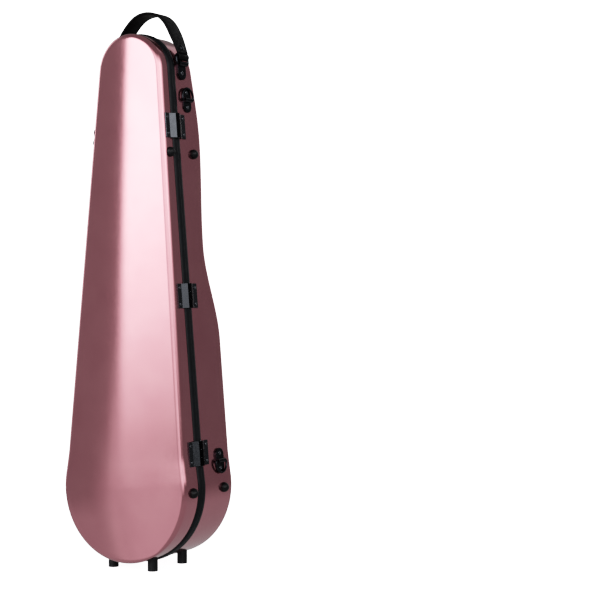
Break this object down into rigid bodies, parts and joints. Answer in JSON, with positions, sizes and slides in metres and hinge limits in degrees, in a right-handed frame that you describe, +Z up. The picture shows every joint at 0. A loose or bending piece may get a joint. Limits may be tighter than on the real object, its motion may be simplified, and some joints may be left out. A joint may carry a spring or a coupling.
{
  "type": "violin case",
  "caption": "Shaped hard case for a full-size violin, with hinged lid, draw latches, side handle, top strap, strap rings and end feet.",
  "frame": {"origin": "on the floor, under the middle of the whole case standing on its end feet", "axes": "+Z up along the case, +X towards the hinges, -X towards the latches and handle, -Y towards the lid's front, +Y towards the back"},
  "size_m": [0.2402, 0.1501, 0.8301],
  "materials": {
    "shell": "satin metallic rose lacquer on a glass-fibre shell",
    "rubber": "matt black moulded rubber",
    "hardware": "black electrocoat on pressed steel",
    "steel": "plain nickel-plated steel",
    "leather": "black grained leather",
    "plush": "short grey plush over foam",
    "plastic": "moulded black"
  },
  "bodies": {
    "base": {"base_shell": "shell", "base_rim": "rubber", "hinge_base_leaf_upper": "hardware", "hinge_base_leaf_middle": "hardware", "hinge_base_leaf_lower": "hardware", "hinge_pins": "steel", "hinge_base_screws": "hardware", "latch_plate_upper": "hardware", "latch_plate_lower": "hardware", "latch_plate_end": "hardware", "latch_pins": "steel", "latch_rivets": "steel", "ring_plate_hinge_upper": "hardware", "ring_plate_hinge_lower": "hardware", "ring_plate_latch_upper": "hardware", "ring_plate_latch_lower": "hardware", "ring_plate_screws": "hardware", "strap_tabs": "hardware", "strap_loops": "hardware", "top_strap": "leather", "strap_rivets": "hardware", "tab_screws": "steel", "handle_plates": "hardware", "handle_pins": "steel", "handle_screws": "steel", "base_end_feet": "rubber", "base_bumpers": "rubber", "side_stud": "hardware", "base_cushion": "plush", "neck_strap": "leather"},
    "lid": {"lid_shell": "shell", "lid_rim": "rubber", "hinge_lid_leaf_upper": "hardware", "hinge_lid_leaf_middle": "hardware", "hinge_lid_leaf_lower": "hardware", "hinge_lid_screws": "hardware", "latch_keeper_upper": "steel", "latch_keeper_lower": "hardware", "latch_keeper_end": "hardware", "keeper_screws": "hardware", "lid_end_feet": "rubber", "lid_bumpers": "rubber", "lid_lining": "plush", "spinner_pins": "steel"},
    "lever_upper": {"latch_lever_upper": "hardware"},
    "bail_upper": {"latch_bail_upper": "hardware"},
    "lever_lower": {"latch_lever_lower": "hardware"},
    "bail_lower": {"latch_bail_lower": "hardware"},
    "lever_end": {"latch_lever_end": "hardware"},
    "bail_end": {"latch_bail_end": "hardware"},
    "ring_hinge_upper": {"strap_ring_hinge_upper": "hardware"},
    "ring_hinge_lower": {"strap_ring_hinge_lower": "hardware"},
    "ring_latch_upper": {"strap_ring_latch_upper": "hardware"},
    "ring_latch_lower": {"strap_ring_latch_lower": "hardware"},
    "handle": {"handle_lugs": "steel", "handle_grip": "leather", "handle_rivets": "steel"},
    "spinner_upper": {"bow_spinner_upper": "plastic"},
    "spinner_lower": {"bow_spinner_lower": "plastic"}
  },
  "joints": [
    {"name": "lid_hinge", "type": "hinge", "parent": "base", "child": "lid", "pos_m": [0.09154, -0.02135, 0.4055], "axis": [-0.0845, 0, 0.9964], "range_deg": [0, 110]},
    {"name": "lever_upper_swing", "type": "hinge", "parent": "base", "child": "lever_upper", "pos_m": [-0.0715, -0.01135, 0.64159], "axis": [0.0845, 0, 0.9964], "range_deg": [0, 120]},
    {"name": "bail_upper_swing", "type": "hinge", "parent": "lever_upper", "child": "bail_upper", "pos_m": [-0.0715, -0.00485, 0.64159], "axis": [0.0845, 0, 0.9964], "range_deg": [-140, 0]},
    {"name": "lever_lower_swing", "type": "hinge", "parent": "base", "child": "lever_lower", "pos_m": [-0.10473, -0.01135, 0.24959], "axis": [0.0845, 0, 0.9964], "range_deg": [0, 120]},
    {"name": "bail_lower_swing", "type": "hinge", "parent": "lever_lower", "child": "bail_lower", "pos_m": [-0.10473, -0.00485, 0.24959], "axis": [0.0845, 0, 0.9964], "range_deg": [-140, 0]},
    {"name": "lever_end_swing", "type": "hinge", "parent": "base", "child": "lever_end", "pos_m": [-0.06712, -0.01135, 0.02534], "axis": [-0.8192, 0, 0.5736], "range_deg": [0, 120]},
    {"name": "bail_end_swing", "type": "hinge", "parent": "lever_end", "child": "bail_end", "pos_m": [-0.06712, -0.00485, 0.02534], "axis": [-0.8192, 0, 0.5736], "range_deg": [-140, 0]},
    {"name": "ring_hinge_upper_swing", "type": "hinge", "parent": "base", "child": "ring_hinge_upper", "pos_m": [0.06436, 0.01265, 0.69528], "axis": [0, 1, 0], "range_deg": [0, 180]},
    {"name": "ring_hinge_lower_swing", "type": "hinge", "parent": "base", "child": "ring_hinge_lower", "pos_m": [0.11087, 0.03065, 0.16038], "axis": [0, -1, 0], "range_deg": [0, 180]},
    {"name": "ring_latch_upper_swing", "type": "hinge", "parent": "base", "child": "ring_latch_upper", "pos_m": [-0.06323, 0.00665, 0.69528], "axis": [0, 1, 0], "range_deg": [0, 180]},
    {"name": "ring_latch_lower_swing", "type": "hinge", "parent": "base", "child": "ring_latch_lower", "pos_m": [-0.11186, 0.03065, 0.14259], "axis": [0, -1, 0], "range_deg": [0, 180]},
    {"name": "handle_swing", "type": "hinge", "parent": "base", "child": "handle", "pos_m": [-0.09465, 0.00365, 0.36255], "axis": [0.0845, 0, 0.9964], "range_deg": [-45, 45]},
    {"name": "spinner_lower_turn", "type": "hinge", "parent": "lid", "child": "spinner_lower", "pos_m": [0.00056, -0.06185, 0.17], "axis": [0, 1, 0], "range_deg": [-90, 90]},
    {"name": "spinner_upper_turn", "type": "hinge", "parent": "lid", "child": "spinner_upper", "pos_m": [0.00056, -0.04785, 0.59], "axis": [0, 1, 0], "range_deg": [-90, 90]}
  ],
  "couplings": [
    {"joint": "bail_upper_swing", "follows": "lever_upper_swing", "ratio": -1.1667},
    {"joint": "bail_lower_swing", "follows": "lever_lower_swing", "ratio": -1.1667},
    {"joint": "bail_end_swing", "follows": "lever_end_swing", "ratio": -1.1667}
  ]
}
